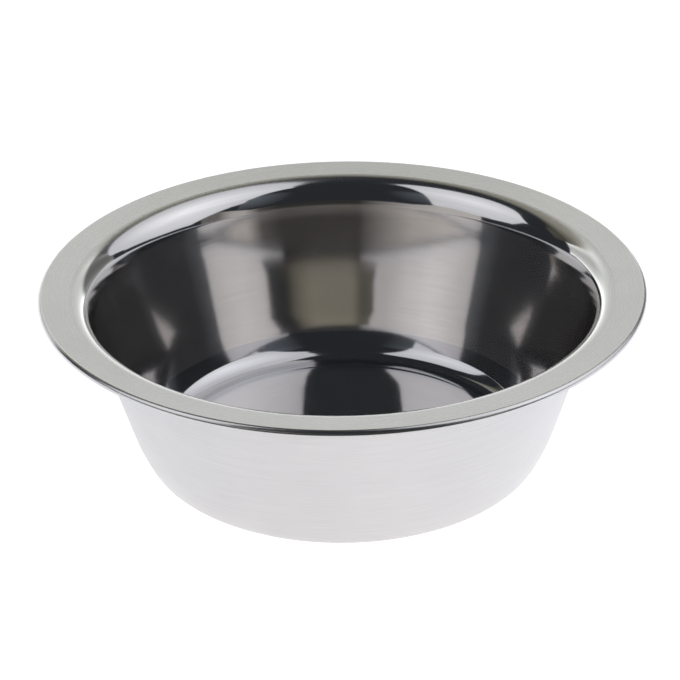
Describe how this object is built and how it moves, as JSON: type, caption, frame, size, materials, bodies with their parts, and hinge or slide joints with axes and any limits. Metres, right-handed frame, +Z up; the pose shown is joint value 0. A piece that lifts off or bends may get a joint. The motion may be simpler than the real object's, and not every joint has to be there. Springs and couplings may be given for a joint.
{
  "type": "feeding bowl",
  "caption": "Round shallow feeding bowl pressed from stainless steel sheet, with a tapered wall, a wide flange and a rolled edge.",
  "frame": {"origin": "centre of the standing ring, on the surface that the bowl rests on", "axes": "+Z up along the bowl's axis, +X and +Y any two square directions across it"},
  "size_m": [0.13, 0.13, 0.0405],
  "materials": {
    "steel": "satin flange, outside and floor; wall brushed round the axis; polished shoulder and corner"
  },
  "bodies": {
    "root": {"bowl": "steel"}
  },
  "joints": []
}
